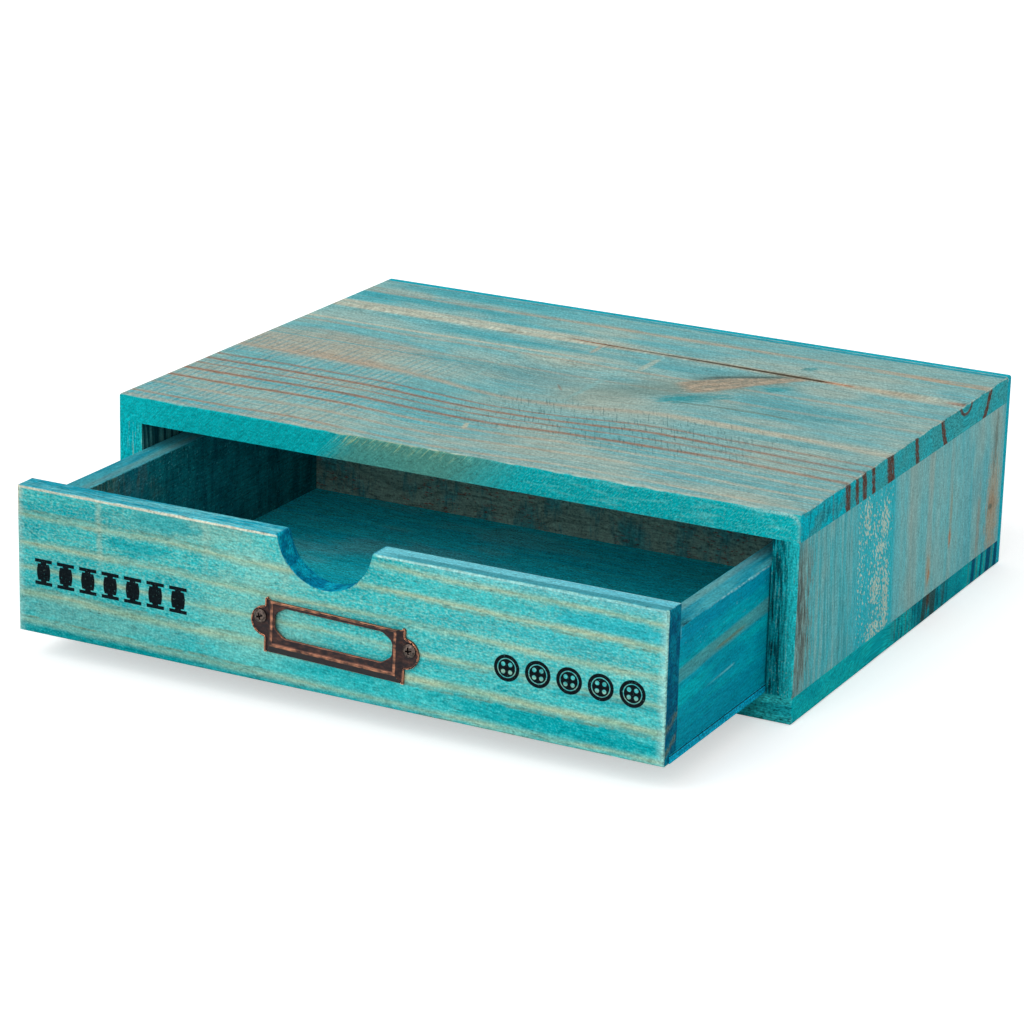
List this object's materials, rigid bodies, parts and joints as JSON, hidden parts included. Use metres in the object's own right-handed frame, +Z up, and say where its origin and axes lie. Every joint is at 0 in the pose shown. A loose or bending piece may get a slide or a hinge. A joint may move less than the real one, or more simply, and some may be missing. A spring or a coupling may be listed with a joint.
{
  "type": "craft drawer box",
  "caption": "Low blue-green stained pine box with one sliding drawer; the drawer front has a round finger scoop and a pressed copper-toned label holder.",
  "frame": {"origin": "middle of the case's underside", "axes": "+X to the right as one faces the drawer, +Y to the back, +Z up; the drawer opens along -Y"},
  "size_m": [0.324, 0.3374, 0.09],
  "materials": {
    "weathered_top": "grey-teal stain, worn back to tan and brown grain",
    "stained_case": "teal stain over pine, rubbed edges",
    "stained_back": "blue-green stain on thin plywood",
    "stained_front": "cyan-teal brushed stain with pale grain bands",
    "stained_drawer": "blue-teal stain, rough sawn",
    "stained_ply": "dark teal stain on plywood",
    "antique_copper": "dark bronze with copper worn through on the ridges",
    "screw_steel": "dull antique nickel",
    "wire_steel": "galvanised wire"
  },
  "bodies": {
    "case": {"top_board": "weathered_top", "bottom_board": "stained_case", "left_side_board": "stained_case", "right_side_board": "stained_case", "back_panel": "stained_back", "top_board_brads": "wire_steel", "bottom_board_brads": "wire_steel", "back_panel_staples": "wire_steel"},
    "drawer": {"drawer_front": "stained_front", "drawer_left_side": "stained_drawer", "drawer_right_side": "stained_drawer", "drawer_back": "stained_drawer", "drawer_bottom": "stained_ply", "drawer_front_brads": "wire_steel", "drawer_back_brads": "wire_steel", "drawer_bottom_staples": "wire_steel", "label_holder": "antique_copper", "label_screw_left": "screw_steel", "label_screw_right": "screw_steel"}
  },
  "joints": [
    {"name": "drawer_slide", "type": "slide", "parent": "case", "child": "drawer", "axis": [0, -1, 0], "range_m": [-0.095, 0.115]}
  ]
}
